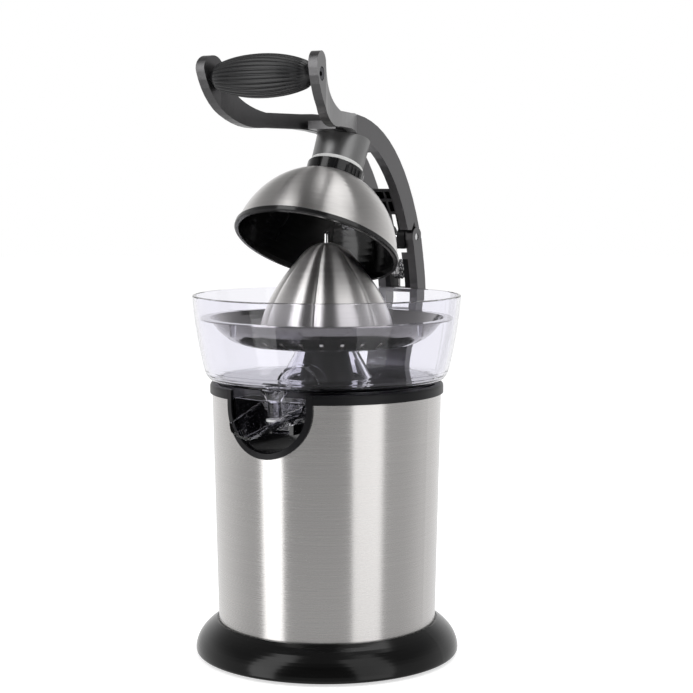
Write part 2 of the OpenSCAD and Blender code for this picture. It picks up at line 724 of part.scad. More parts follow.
// ---- cone ----
cone_z0 = strainer_floor + strainer_t + press_travel + gap;
drive_pin_r = 1.2;
drive_pin_z = cone_z0 + 7;
core_hub_r = 9;
cone_profile = concat(
  bez3([cone_r, 0], [cone_r - 1.6, 0.36 * cone_h], [0.67 * cone_r, 0.63 * cone_h],
    [0.426 * cone_r, 0.832 * cone_h], 9),
  tail(bez2([0.426 * cone_r, 0.832 * cone_h], [0.27 * cone_r, 0.98 * cone_h], [0.1 * cone_r, cone_h], 5)));
lobe_steps = [0, 0.03, 0.07, 0.14, 0.24, 0.37, 0.5, 0.63, 0.76, 0.86, 0.93, 0.97];
lobe_phase = -71;
function flute(u) = pow(1 - sin(180 * u), 2.2);

module cone_skin() {
  rings = len(cone_profile);
  around_n = lobe_count * len(lobe_steps);
  angles = [for (k = [0:lobe_count - 1]) for (u = lobe_steps) [lobe_phase + (k + u) * 360 / lobe_count, u]];
  points = concat([for (p = cone_profile) for (a = angles)
      let (r = p.x - groove_d * (0.35 + 0.65 * p.x / cone_r) * flute(a[1]) * min(1, p.x / 12))
        [r * cos(a[0]), r * sin(a[0]), cone_z0 + p.y]],
    [[0, 0, cone_z0], [0, 0, cone_z0 + cone_h]]);
  sides = [for (i = [0:rings - 2]) for (k = [0:around_n - 1]) let (j = (k + 1) % around_n)
    [i*around_n + k, (i + 1)*around_n + k, (i + 1)*around_n + j, i*around_n + j]];
  foot = [for (k = [0:around_n - 1]) [rings*around_n, k, (k + 1) % around_n]];
  top = [for (k = [0:around_n - 1])
    [rings*around_n + 1, (rings - 1)*around_n + (k + 1) % around_n, (rings - 1)*around_n + k]];
  polyhedron(points, concat(sides, foot, top));
}

function inner_cone(d) = concat([[0, cone_z0 - 1], [cone_r - groove_d - d, cone_z0 - 1]],
  [for (p = cone_profile) if (p.x > groove_d + d + tip_pin_r + 2)
    [p.x - d - groove_d * (0.35 + 0.65 * p.x / cone_r), cone_z0 + p.y - d]]);
module reamer_cone() {
  points = inner_cone(cone_wall);
  color("#bfc1c4") difference() {
    cone_skin();
    rotate_extrude($fn = 48) polygon(concat(points, [[0, points[len(points) - 1].y]]));
    translate([0, 0, cone_z0 + cone_h - 20]) cylinder(r = tip_pin_r, h = 30);
  }
}

module cone_core() {
  skin = inner_cone(cone_wall + 0.3);
  hub_top = cone_z0 + cone_h - 12;
  color("#1a1a1c") difference() {
    union() {
      disc(core_hub_r, cone_z0 + 0.1, hub_top);
      disc(cone_r - groove_d - cone_wall - 2.5, cone_z0 + 4, cone_z0 + 6.5);
      intersection() {
        for (i = [0:2]) rotate([0, 0, 60 * i])
          translate([-cone_r, -1, cone_z0 + 5]) cube([2 * cone_r, 2, cone_h - 17]);
        revolve(concat(skin, [[0, skin[len(skin) - 1].y]]));
      }
    }
    disc(shaft_r, cone_z0 - 1, cone_z0 + cone_h - 26);
    x_rod(drive_pin_r, 40, 0, drive_pin_z);
    disc(tip_pin_r, cone_z0 + cone_h - 20, cone_z0 + cone_h);
  }
}

module drive_pin() { color("#c4c7cb") x_rod(drive_pin_r, 2 * core_hub_r, 0, drive_pin_z); }

module tip_pin() {
  top = cone_z0 + cone_h + tip_pin_h;
  color("#d5d7da") {
    disc(tip_pin_r, cone_z0 + cone_h - 20, top - tip_pin_r);
    translate([0, 0, top - tip_pin_r]) intersection() {
      sphere(r = tip_pin_r, $fn = 32);
      cylinder(r = 2 * tip_pin_r, h = 2 * tip_pin_r);
    }
  }
}

// ---- dome, in a frame whose origin is the centre of the rim and whose axis is the dome's ----
dome_reach = 108.6;                           // distance of the dome's axis in front of the hinge pin
dome_drop = 3.8;                              // height of the hinge pin above the centre of the rim
module in_dome() { translate([0, hinge_y - dome_reach, hinge_z - dome_drop]) rotate([-raised, 0, 0]) children(); }
dome_sink = 7.8;                              // depth of the curve's widest point below the rim
liner_d = dome_wall + 0.1;
inner_d = liner_d + dome_liner_wall;
dome_hole = 16.5;
liner_hole = 14;
rib_count = 8;
// The dome's curve moved inwards by d, from height z0 up to radius r1
function dome_curve(d, z0, r1, n = 14) =
  let (a = dome_r - d, b = dome_h + dome_sink - d, t0 = asin((z0 + dome_sink) / b), t1 = acos(r1 / a))
  [for (i = [0:n]) let (t = t0 + (t1 - t0) * i / n) [a * cos(t), b * sin(t) - dome_sink]];
function curve_r(d, z) = (dome_r - d) * sqrt(1 - pow((z + dome_sink) / (dome_h + dome_sink - d), 2));
module dome_solid(d, z0) {
  c = dome_curve(d, z0, 0);
  revolve(concat([[0, z0 - 1], [c[0].x, z0 - 1]], c));
}

module dome_shell() {
  color("#b9bbbe") in_dome()
    revolve(concat(dome_curve(0, rim_h, dome_hole), rev(dome_curve(dome_wall, rim_h, dome_hole))));
}

module dome_liner() {
  rim_in = curve_r(inner_d, rim_h);
  color("#101012") in_dome() {
    revolve(concat([[rim_in, rim_h - 0.3], [rim_in + 1.1, 0], [dome_r - 0.3, 0], [dome_r + 0.4, 0.7],
      [dome_r + 0.4, rim_h - 0.5], [dome_r - 0.1, rim_h]],
      dome_curve(liner_d, rim_h, dome_hole), rev(dome_curve(inner_d, rim_h, dome_hole))));
    intersection() {
      difference() {
        dome_solid(inner_d - 0.2, rim_h);
        dome_solid(inner_d + 1, rim_h - 1);
        cylinder(r = dome_hole + 6, h = 100);
      }
      for (i = [0:rib_count - 1]) rotate([0, 0, (i + 0.5) * 360 / rib_count])
        translate([0, -1, rim_h + 9]) cube([60, 2, 60]);
    }
  }
}

lug_r = liner_hole + 1.6;
lug_arc = 15;                                 // half width of a bayonet lug, in degrees
twist_open = 50;
lug_z = neck_top - 5.2;
lug_t = 1.6;
module sector(r, a0, a1, z0, z1) {
  n = 6;
  translate([0, 0, z0]) linear_extrude(z1 - z0)
    polygon(concat([[0, 0]], [for (i = [0:n]) polar(r, a0 + (a1 - a0) * i / n)]));
}
tab_reach = 2.6;
tab_angle = -20;
neck_z0 = rim_h + 30;                         // start of the ring's wall, inside the dome's curve
module neck_ring() {
  color("#151518") in_dome() difference() {
    union() {
      difference() {
        disc(neck_r, neck_z0, neck_top);
        dome_solid(-0.05, rim_h);
      }
      difference() {
        disc(dome_hole - 0.1, neck_z0, neck_top - 2);
        dome_solid(inner_d, rim_h);
      }
      for (s = [0, 180]) rotate([0, 0, s + tab_angle]) difference() {
        union() {
          translate([neck_r - 1.5, -6, 38]) cube([tab_reach, 12, neck_top - 40.5]);
          for (y = [-4.5, -1.5, 1.5, 4.5])
            translate([neck_r - 1.5 + tab_reach, y, 38]) cylinder(r = 0.8, h = neck_top - 40.5, $fn = 24);
        }
        dome_solid(-0.05, rim_h);
        cylinder(r = neck_r - 1, h = 100);
      }
    }
    translate([0, 0, 1]) cylinder(r = liner_hole, h = 100);
    disc(lug_r + gap, lug_z - gap, lug_z + lug_t + gap);
    for (s = [0, 180]) rotate([0, 0, s + twist_open])
      sector(lug_r + gap + 0.1, -lug_arc - 3, lug_arc + 3, lug_z, neck_top + 1);
  }
}

// ---- arm ----
// Centre line of a rail seen from the side, as [y, z, depth above, depth below]; y and z run from the hinge pin
arm_front = bez3([-170, 107, 7.8, 7.8], [-166, 88, 6.6, 6.6], [-149, 76.4, 8.4, 7.6], [-129, 76.2, 5, 4.5], 12);
arm_back = bez3([-101, 76.2, 4.8, 4.8], [-57, 80, 4.4, 11.5], [-23, 54, 7.6, 7.6], [-3.5, 2, 7.8, 7.8], 14);
arm_line = concat(arm_front, arm_back);
function arm_curve(side) = [for (i = [0:len(arm_line) - 1]) let (p = arm_line[i])
  [hinge_y + p.x, hinge_z + p.y] + side * rail_depth * (side < 0 ? p[2] : p[3]) * normal_at(arm_line, i)];
function arm_profile(top, bottom) = concat(arm_curve(-top), rev(arm_curve(bottom)));
grip_y = hinge_y - 169.8;
grip_z = hinge_z + 101.3;
grip_face = grip_len / 2;                     // inner face of a prong at the grip's axis
prong_out = grip_face + rail_t / cos(splay);  // its outer face
ear_r = 6.5;                                  // radius of the bracket's ears round the pin
end_r = ear_r + 0.3;                          // radius cleared for them at the rails' ends
foot_z = 4.9;                                 // height of the rails' ends above the pin's axis
notch_w = 7;
notch_h = 10.5;
rail_in = arm_w / 2 - rail_t;
rail_c = rail_in + rail_t / 2;
prong_c = (grip_face + prong_out) / 2;
plan_line = concat([[rail_c, hinge_y + 30]],
  bez3([rail_c, hinge_y - 83], [prong_c - 8.5, hinge_y - 130], [prong_c - 8, hinge_y - 147],
    [prong_c - 6.5 * tan(splay), grip_y + 6.5], 10),
  [[prong_c + 20 * tan(splay), grip_y - 20]]);
prong_screw_r = 2;
module rails() {
  both_sides() intersection() {
    union() {
      side_extrude(arm_profile(1, 1), 0, 60);
      translate([0, hinge_y + arm_line[0].x, hinge_z + arm_line[0].y]) rotate([0, 90, 0])
        cylinder(r = rail_depth * arm_line[0][2], h = 60);
    }
    translate([0, 0, 200]) linear_extrude(300)
      polygon(concat(shift(plan_line, rail_t / 2), rev(shift(plan_line, -rail_t / 2))));
  }
}
module crosspiece() {
  intersection() {
    side_extrude(arm_profile(0.1, 1), -rail_in - 1, rail_in + 1);
    translate([-60, hinge_y - 101, 0]) cube([120, 47, 500]);
  }
}
module arm_frame() {
  color("#6d6f73") difference() {
    union() {
      rails();
      crosspiece();
    }
    translate([-60, hinge_y - 40, hinge_z - 60]) cube([120, 80, 60 + foot_z]);
    x_rod(end_r, 120, hinge_y, hinge_z);
    side_extrude([[hinge_y - 4.5 - notch_w / 2, hinge_z + foot_z - 1], [hinge_y - 4.5 + notch_w / 2, hinge_z + foot_z - 1],
      [hinge_y - 4, hinge_z + notch_h]], -60, 60);
    x_rod(prong_screw_r, 120, grip_y, grip_z);
    both_sides() translate([prong_out - 2.6, grip_y, grip_z]) rotate([0, 90, 0])
      cylinder(r = prong_screw_r * 2.1, h = 10);
  }
}

bridge_z0 = hinge_z + 15.5;
bridge_z1 = hinge_z + 33;
module arm_bridge() {
  w = rail_in;
  color("#1b1c1e") intersection() {
    union() {
      side_extrude(arm_profile(0.45, -0.1), -w, w);
      for (x = [-w, -4.4, 2.8, w - 1.6]) side_extrude(arm_profile(0.3, 0.85), x, x + 1.6);
      intersection() {
        side_extrude(arm_profile(0.3, 0.85), -w, w);
        for (z = [bridge_z0, (bridge_z0 + bridge_z1) / 2, bridge_z1 - 2])
          translate([-30, 0, z]) cube([60, 200, 2]);
      }
    }
    translate([-30, hinge_y - 60, bridge_z0]) cube([60, 80, bridge_z1 - bridge_z0]);
  }
}

knuckle_in = 3.6;
knuckle_r = 7.4;
knuckle_drop = 8.2;
module hinge_knuckle() {
  color("#18191b") difference() {
    both_sides() intersection() {
      union() {
        x_rod(knuckle_r, 40, hinge_y, hinge_z);
        translate([0, hinge_y - knuckle_r, hinge_z - knuckle_drop]) cube([20, knuckle_r, knuckle_drop]);
        side_extrude(arm_profile(0.9, 0.05), 0, 20);
      }
      translate([knuckle_in, 0, 0]) cube([rail_in - knuckle_in, 200, bridge_z0]);
    }
    x_rod(pin_r + run_fit, 60, hinge_y, hinge_z);
  }
}

hub_r0 = 17;
hub_r1 = 17.8;
hub_z0 = neck_top + 0.3 + seal_t;
hub_z1 = 86;
spigot_r = liner_hole - run_fit;
module dome_hub() {
  color("#85878b") difference() {
    in_dome() union() {
      translate([0, 0, hub_z0]) cylinder(r1 = hub_r0, r2 = hub_r1, h = hub_z1 - hub_z0);
      ring(spigot_r, spigot_r - 2.5, lug_z - 0.1, hub_z0);
      difference() {
        for (s = [0, 180]) sector(lug_r, s - lug_arc, s + lug_arc, lug_z, lug_z + lug_t);
        translate([0, 0, lug_z - 1]) cylinder(r = spigot_r - 2, h = 10);
      }
    }
    side_extrude(arm_profile(1.02, 1.02), -60, 60);
    translate([-60, hinge_y - 160, hinge_z + 76]) cube([120, 120, 40]);
    side_extrude(concat(arm_curve(0), [[hinge_y + 20, hinge_z + 150], [hinge_y - 170, hinge_z + 150]]), -60, 60);
  }
}

module seal_ring() {
  color("#e9e9e6") in_dome() ring(hub_r0 + 0.3, spigot_r, neck_top + 0.3, neck_top + 0.3 + seal_t);
}

grip_span = grip_len + 4;
grip_ctrl = (4 * grip_r - grip_end_r) / 3;
grip_profile = concat(
  [[grip_end_r - 4.4, 0], [grip_end_r - 4, 2.4], [grip_end_r - 1.6, 4.2]],
  bez3([grip_end_r, 6.6], [grip_ctrl, 0.32 * grip_span], [grip_ctrl, 0.68 * grip_span],
    [grip_end_r, grip_span - 6.6], 14),
  [[grip_end_r - 1.6, grip_span - 4.2], [grip_end_r - 4, grip_span - 2.4], [grip_end_r - 4.4, grip_span]]);
module grip() {
  color("#161618") intersection() {
    translate([-grip_span / 2, grip_y, grip_z]) rotate([0, 90, 0]) difference() {
      revolve(concat([[0, 0]], grip_profile, [[0, grip_span]]));
      translate([0, 0, -1]) cylinder(r = 3, h = grip_span + 2);
    }
    translate([0, 0, grip_z - 50]) linear_extrude(100)
      polygon([for (k = [[-1, -30], [1, -30], [1, 30], [-1, 30]])
        [k.x * (grip_face - k.y * tan(splay)), grip_y + k.y]]);
  }
}
rod_len = grip_len - 4;
module grip_rod() {
  color("#a9acb0") difference() {
    x_rod(3, rod_len, grip_y, grip_z);
    both_sides() translate([grip_len / 2 - 12, grip_y, grip_z]) rotate([0, 90, 0])
      cylinder(r = prong_screw_r, h = 20);
  }
}
module grip_screws() {
  color("#7d8084") both_sides() translate([0, grip_y, grip_z]) rotate([0, 90, 0]) {
    disc(prong_screw_r, grip_len / 2 - 12, prong_out - 2.6);
    difference() {
      disc(prong_screw_r * 2, prong_out - 2.6, prong_out - 0.8);
      translate([0, 0, prong_out - 1.9]) cylinder(r = 1.6, h = 4, $fn = 6);
    }
  }
}

// ---- rear bracket ----
leg_in = rail_in + 0.3;
// Centre line of the bracket seen from the side, as [y, z, half depth]
leg_top = bez3([hinge_y, hinge_z + 1, leg_w / 2], [hinge_y + 3, hinge_z - 14, leg_w / 2],
  [hinge_y + 11, hinge_z - 38, 6], [hinge_y + 6, hinge_z - 52, 5.4], 10);
leg_low = bez3([hinge_y + 6, hinge_z - 52, 5.4], [hinge_y + 2, hinge_z - 64, 4.6],
  [sleeve_top_r + 13, sleeve_z1 + 28, 3.8], [sleeve_top_r + 10, sleeve_z1 + 12, 3.6], 8);
leg_foot = bez3([sleeve_top_r + 10, sleeve_z1 + 12, 3.6], [sleeve_top_r + 8, sleeve_z1 + 2, 3.6],
  [sleeve_top_r + 5.2, sleeve_z1 - 6, 3.4], [sleeve_top_r + 4.4, sleeve_z1 - 20, 3.4], 6);
leg_line = concat(leg_top, tail(leg_low), tail(leg_foot));
function leg_profile(p) = concat(
  [for (i = [0:len(p) - 1]) flat2(p[i]) + p[i].z * normal_at(p, i)],
  rev([for (i = [0:len(p) - 1]) flat2(p[i]) - p[i].z * normal_at(p, i)]));
solid_from = hinge_z - 50;                    // below this height the two legs are one
bar_z = hinge_z - 38.5;
spring_y = hinge_y + 2.6;
spring_z = hinge_z - 22.5;
spring_pin_r = 2;
spring_pin_len = 2 * leg_in + 5;
shelf_x = 5.2;                                // inner edge of the shelf on each leg
shelf_z = [-15.5, -10.9];                     // its bottom and top below the hinge pin
module ear_outline(x0, x1) {
  reach = acos(leg_w / 2 / ear_r);
  side_extrude(concat([[hinge_y - leg_w / 2, hinge_z - 2], [hinge_y + leg_w / 2, hinge_z - 2]],
    [for (i = [0:10]) [hinge_y, hinge_z] + polar(ear_r, reach + (180 - 2 * reach) * i / 10)]), x0, x1);
}
module bracket_side() {
  intersection() {
    side_extrude(leg_profile(leg_line), -arm_w / 2, arm_w / 2);
    translate([-60, 0, 0]) cube([120, 200, hinge_z - 1]);
  }
}
module rear_bracket() {
  pad_z0 = bracket_z[0] - 12;
  color("#66686c") difference() {
    union() {
      difference() {
        union() {
          bracket_side();
          ear_outline(-arm_w / 2, arm_w / 2);
        }
        translate([-leg_in, 0, solid_from]) cube([2 * leg_in, 200, 100]);
      }
      intersection() {
        bracket_side();
        union() {
          translate([-leg_in - 1, 0, bar_z]) cube([2 * leg_in + 2, 200, 3.2]);
          both_sides() translate([shelf_x, 0, hinge_z + shelf_z[0]])
            cube([leg_in + 1 - shelf_x, 200, shelf_z[1] - shelf_z[0]]);
        }
      }
      intersection() {
        translate([-arm_w / 2, 60, pad_z0]) cube([arm_w, sleeve_top_r + 7.8 - 60, sleeve_z1 - 12 - pad_z0]);
        translate([0, 0, pad_z0 - 1]) cylinder(r = 200, h = 200);
      }
    }
    revolve([[0, pad_z0 - 5], [sleeve_r(pad_z0 - 5) + 0.02, pad_z0 - 5], [sleeve_r(sleeve_z1) + 0.02, sleeve_z1],
      [collar_r + 0.1, sleeve_z1], [collar_r + 0.1, collar_z1 + 0.3], [0, collar_z1 + 0.3]]);
    x_rod(pin_r, 60, hinge_y, hinge_z);
    x_rod(spring_pin_r, spring_pin_len, spring_y, spring_z);
    for (z = bracket_z, x = [-bracket_x, bracket_x]) translate([x, sleeve_top_r + 20, z]) rotate([90, 0, 0]) {
      cylinder(r = bracket_screw_r, h = 40);
      cylinder(r = bracket_screw_r * 2, h = 20 - 5.2);
    }
  }
}
module bracket_screws() {
  color("#7d8084") for (z = bracket_z, x = [-bracket_x, bracket_x])
    translate([x, sleeve_top_r + 5.2, z]) rotate([90, 0, 0]) {
      cylinder(r = bracket_screw_r, h = 9.9);
      translate([0, 0, -2]) cylinder(r = bracket_screw_r * 1.9, h = 2);
    }
}
module hinge_pin() { color("#d0d2d5") x_rod(pin_r, arm_w - 1, hinge_y, hinge_z); }
module spring_pin() { color("#a9acb0") x_rod(spring_pin_r, spring_pin_len, spring_y, spring_z); }

coil_r = 6.2;
coil_wire = 0.9;
coil_turns = 3;
module lift_spring() {
  n = 12 * coil_turns;
  pitch = 2 * coil_wire + 0.25;
  x0 = -coil_turns * pitch / 2;
  color("#cfd1d4") wire(concat(
    [for (z = [bar_z + 3.2 - spring_z, -4]) [[x0, spring_y + coil_r, spring_z + z], [0, 1, 0], [1, 0, 0]]],
    [for (i = [0:n]) let (a = 30 * i)
      [[x0 + pitch * i / 12, spring_y + coil_r * cos(a), spring_z + coil_r * sin(a)],
       [0, cos(a), sin(a)], [1, 0, 0]]],
    [for (z = [4, 9]) [[-x0, spring_y + coil_r, spring_z + z], [0, 1, 0], [1, 0, 0]]]),
    coil_wire, 8);
}

guard_t = 4;
module spring_guard() {
  color("#121214") both_sides() difference() {
    intersection() {
      side_extrude(leg_profile(leg_line), leg_in - guard_t, leg_in);
      translate([0, 0, bar_z + 3.2]) cube([20, 200, hinge_z + shelf_z[0] - bar_z - 3.2]);
    }
    x_rod(spring_pin_r, 60, spring_y, spring_z);
  }
}

// ---- spout ----
chute_z = recess_z + 4.8;                     // height of the chute's axis under the nozzle
chute_back = -recess_back - 5.6;
pad_t = 1.3;
// clear of the trough's rounded sides and of its floor, which falls forwards under the pad
pad_z = chute_z - sqrt(pow(chute_r - chute_wall, 2) - pow(pad_r, 2)) + pad_r * tan(chute_slope) + 0.1;
pad_seat_z = chute_z - chute_r + chute_wall * 0.53;
module in_chute() {
  translate([0, nozzle_y, chute_z]) rotate([chute_slope, 0, 0]) translate([0, -nozzle_y, 0]) children();
}
module spout_chute() {
  cut_len = chute_tip + chute_back + 4;
  color([0.88, 0.88, 0.95, 0.35]) difference() {
    union() {
      difference() {
        in_chute() translate([0, chute_back, 0]) rotate([90, 0, 0]) cylinder(r = chute_r, h = cut_len);
        in_chute() translate([0, chute_back - chute_wall, 0]) rotate([90, 0, 0])
          cylinder(r = chute_r - chute_wall, h = cut_len);
        side_extrude([[-chute_tip - 30, chute_z - 40], [-chute_tip, chute_z - 40], [-chute_tip + 0.5, chute_z - 17],
          [-chute_tip + 4, chute_z - 12], [-50, chute_z - 2.2], [-40, chute_z + 0.2], [-40, chute_z + 40],
          [-chute_tip - 30, chute_z + 40]], -60, 60);
      }
      x_rod(3, knuckle_w, spout_pin_y, spout_pin_z);
      translate([-knuckle_w / 2, spout_pin_y - 3, spout_pin_z]) cube([knuckle_w, 6, 4.4]);
      translate([0, nozzle_y, pad_seat_z]) cylinder(r = pad_r - 1, h = pad_z - pad_seat_z);
    }
    x_rod(spout_pin_r + run_fit, 60, spout_pin_y, spout_pin_z);
  }
}
module spout_pin() {
  color("#b4b7bb") x_rod(spout_pin_r, knuckle_w + 2 * (gap + ear_t), spout_pin_y, spout_pin_z);
}
module drip_pad() {
  color("#ecebe6") translate([0, nozzle_y, pad_z]) cylinder(r = pad_r, h = pad_t);
}

base_disc();
bottom_cover();
foot_ring();
bottom_screws();
tie_rods();
steel_sleeve();
top_collar();
recess_trim();
recess_liner();
top_deck();
gear_case();
gear_case_lid();
case_screws();
layshaft_axle();
shaft_bushes();
shaft_seal();
motor_can();
motor_end_bell();
motor_bushes();
stator_core();
stator_coils();
control_board();
micro_switch();
cord_gland();
juice_bowl();
bowl_tower();
strainer();
rear_bracket();
bracket_screws();
hinge_pin();
spring_pin();
lift_spring();
spring_guard();
spout_pin();
press_rocker();
press_spring();
drive_shaft();
output_gear();
drive_pin();
cone_core();
reamer_cone();
tip_pin();
layshaft_gear();
rotor_core();
rotor_shaft();
cooling_fan();
arm_frame();
arm_bridge();
hinge_knuckle();
dome_hub();
seal_ring();
grip();
grip_rod();
grip_screws();
dome_shell();
dome_liner();
neck_ring();
spout_chute();
drip_pad();
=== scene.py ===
"""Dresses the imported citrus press: fine meshes, finishes, lamps, floor and camera."""

from __future__ import annotations

import logging
import math
from dataclasses import dataclass, field
from enum import Enum
from typing import Any, Callable, Sequence

import bmesh
import bpy
from mathutils import Matrix, Vector

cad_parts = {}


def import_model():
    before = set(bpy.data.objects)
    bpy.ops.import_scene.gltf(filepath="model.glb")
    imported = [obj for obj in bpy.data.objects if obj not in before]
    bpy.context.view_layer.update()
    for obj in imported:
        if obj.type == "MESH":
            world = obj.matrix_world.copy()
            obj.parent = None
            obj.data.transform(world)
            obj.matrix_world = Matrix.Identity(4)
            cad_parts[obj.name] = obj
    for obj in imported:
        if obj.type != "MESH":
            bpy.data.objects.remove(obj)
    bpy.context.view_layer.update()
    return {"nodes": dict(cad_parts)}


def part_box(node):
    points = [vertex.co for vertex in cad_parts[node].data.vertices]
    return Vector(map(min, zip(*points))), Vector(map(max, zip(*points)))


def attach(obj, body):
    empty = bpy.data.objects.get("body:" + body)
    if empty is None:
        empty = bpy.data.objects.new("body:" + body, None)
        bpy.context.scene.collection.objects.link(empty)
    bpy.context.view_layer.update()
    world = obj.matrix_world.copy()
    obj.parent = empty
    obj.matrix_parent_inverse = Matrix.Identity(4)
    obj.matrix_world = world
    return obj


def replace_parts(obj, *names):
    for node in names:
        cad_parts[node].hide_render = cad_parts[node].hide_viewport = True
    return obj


LOG = logging.getLogger("citrus_press")
MM = 0.001
Point = tuple[float, float]
Span = tuple[float, float]
Colour = tuple[float, float, float]
Number = int | float

# Sockets of a Mix node, by their place in its list.
FACTOR, NUMBER_A, NUMBER_B, COLOUR_A, COLOUR_B, COLOUR_OUT = 0, 2, 3, 6, 7, 2


# ---------------------------------------------------------------- curves

def quadratic(a: Point, b: Point, c: Point, steps: int) -> list[Point]:
    """Points along a quadratic curve.

    Args:
        a: Start.
        b: Control point.
        c: End.
        steps: Number of spans.

    Returns:
        The points from a to c.
    """
    return [tuple((1 - t) ** 2 * p + 2 * (1 - t) * t * q + t * t * r for p, q, r in zip(a, b, c))
            for t in (i / steps for i in range(steps + 1))]


def cubic(a: Point, b: Point, c: Point, d: Point, steps: int) -> list[Point]:
    """Points along a cubic curve.

    Args:
        a: Start.
        b: First control point.
        c: Second control point.
        d: End.
        steps: Number of spans.

    Returns:
        The points from a to d.
    """
    return [tuple((1 - t) ** 3 * p + 3 * (1 - t) ** 2 * t * q + 3 * (1 - t) * t * t * r + t ** 3 * s
                  for p, q, r, s in zip(a, b, c, d))
            for t in (i / steps for i in range(steps + 1))]


# ---------------------------------------------------------------- shaping

class Shaper:
    """Makes a mesh with bmesh operators, in millimetres, and hands it over in metres."""

    def __init__(self, name: str) -> None:
        """Starts an empty mesh.

        Args:
            name: Name of the finished object.
        """
        self.name = name
        self.bm = bmesh.new()

    def lathe(self, profile: Sequence[Point], steps: int) -> Shaper:
        """Spins a profile of (radius, height) about Z.

        Args:
            profile: Points of the profile, outer side running upwards.
            steps: Steps round the full turn.

        Returns:
            This shaper.
        """
        verts = [self.bm.verts.new((max(r, 0.0), 0.0, z)) for r, z in profile]
        edges = [self.bm.edges.new(pair) for pair in zip(verts, verts[1:])]
        bmesh.ops.spin(self.bm, geom=verts + edges, cent=(0, 0, 0), axis=(0, 0, 1), dvec=(0, 0, 0),
                       angle=math.tau, steps=steps, use_merge=True, use_normal_flip=False,
                       use_duplicate=False)
        return self.merge()

    def push(self, rule: Callable[[Vector], Vector]) -> Shaper:
        """Moves every vertex by a rule.

        Args:
            rule: Takes a vertex's place and returns its new one.

        Returns:
            This shaper.
        """
        for vert in self.bm.verts:
            vert.co = rule(vert.co.copy())
        return self

    def wall(self, thickness: float) -> Shaper:
        """Gives the skin a wall, inwards.

        Args:
            thickness: Of the wall, in millimetres.

        Returns:
            This shaper.
        """
        bmesh.ops.recalc_face_normals(self.bm, faces=self.bm.faces[:])
        bmesh.ops.solidify(self.bm, geom=self.bm.faces[:], thickness=thickness)
        return self

    def merge(self, distance: float = 0.0005) -> Shaper:
        """Merges doubled vertices."""
        bmesh.ops.remove_doubles(self.bm, verts=self.bm.verts[:], dist=distance)
        return self

    def place(self, matrix: Matrix) -> Shaper:
        """Turns and moves everything made so far."""
        bmesh.ops.transform(self.bm, matrix=matrix, verts=self.bm.verts[:])
        return self

    def done(self, body: str, slot: str, sharp: float) -> bpy.types.Object:
        """Turns the mesh into an object that rides on a body.

        Args:
            body: CAD body that carries it.
            slot: Not used.
            sharp: Angle past which an edge stays sharp, in degrees.

        Returns:
            The new object, with its place in its mesh.
        """
        bmesh.ops.recalc_face_normals(self.bm, faces=self.bm.faces[:])
        bmesh.ops.scale(self.bm, verts=self.bm.verts[:], vec=(MM, MM, MM))
        mesh = bpy.data.meshes.new(self.name)
        self.bm.to_mesh(mesh)
        self.bm.free()
        mesh.shade_smooth()
        mesh.set_sharp_from_angle(angle=math.radians(sharp))
        piece = bpy.data.objects.new(self.name, mesh)
        bpy.context.scene.collection.objects.link(piece)
        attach(piece, body)
        LOG.info("made %s, %d faces, on %s", self.name, len(mesh.polygons), body)
        return piece


# ---------------------------------------------------------------- shader maths

@dataclass(frozen=True)
class Signal:
    """A socket, or a number, that takes part in shader maths."""

    shader: Shader
    value: Any

    def _join(self, operation: str, other: Signal | Number) -> Signal:
        """Adds one Math node on this signal and another."""
        return self.shader.add("ShaderNodeMath", {"operation": operation}, {0: self, 1: other})

    def __add__(self, other: Signal | Number) -> Signal:
        """Sum."""
        return self._join("ADD", other)

    def __radd__(self, other: Number) -> Signal:
        """Sum, reflected."""
        return self._join("ADD", other)

    def __sub__(self, other: Signal | Number) -> Signal:
        """Difference."""
        return self._join("SUBTRACT", other)

    def __rsub__(self, other: Number) -> Signal:
        """Difference, reflected."""
        return Signal(self.shader, other)._join("SUBTRACT", self)

    def __mul__(self, other: Signal | Number) -> Signal:
        """Product."""
        return self._join("MULTIPLY", other)

    def __rmul__(self, other: Number) -> Signal:
        """Product, reflected."""
        return self._join("MULTIPLY", other)


class Ray(Enum):
    """Kinds of ray, by their name on the Light Path node."""

    CAMERA = "Is Camera Ray"
    GLOSSY = "Is Glossy Ray"
    SHADOW = "Is Shadow Ray"
    TRANSMISSION = "Is Transmission Ray"


